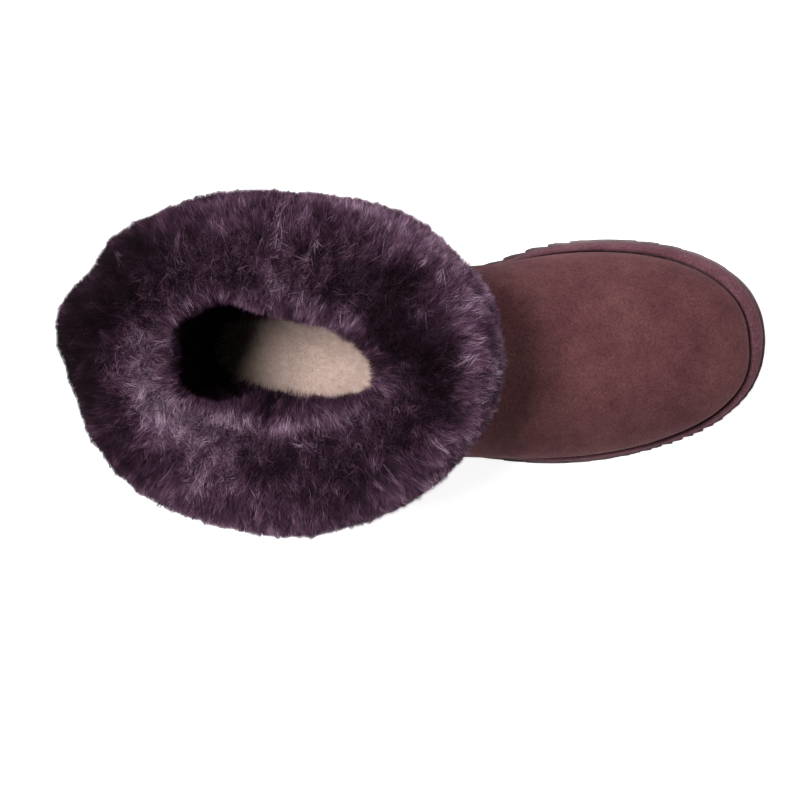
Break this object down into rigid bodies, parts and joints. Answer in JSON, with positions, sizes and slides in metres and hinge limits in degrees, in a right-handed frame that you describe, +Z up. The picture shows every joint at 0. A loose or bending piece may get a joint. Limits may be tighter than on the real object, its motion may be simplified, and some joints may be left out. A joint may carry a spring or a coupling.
{
  "type": "sheepskin boot",
  "caption": "Short right-foot sheepskin boot: deep fur cuff folded over the shaft, plain suede vamp, suede band round a lugged foam sole, and a fleece insole.",
  "frame": {"origin": "on the floor under the middle of the heel", "axes": "+X to the toe, +Y to the inner side of the foot, +Z up"},
  "size_m": [0.3029, 0.1449, 0.214],
  "materials": {
    "sole_foam": "matt moulded foam",
    "band_suede": "brushed suede",
    "upper_suede": "brushed suede",
    "counter_suede": "brushed suede",
    "insole_fleece": "short clipped fleece",
    "cuff_fur": "long dyed fur"
  },
  "bodies": {
    "root": {"outsole": "sole_foam", "foxing": "band_suede", "upper": "upper_suede", "heel_counter": "counter_suede", "insole": "insole_fleece", "cuff": "cuff_fur"}
  },
  "joints": []
}
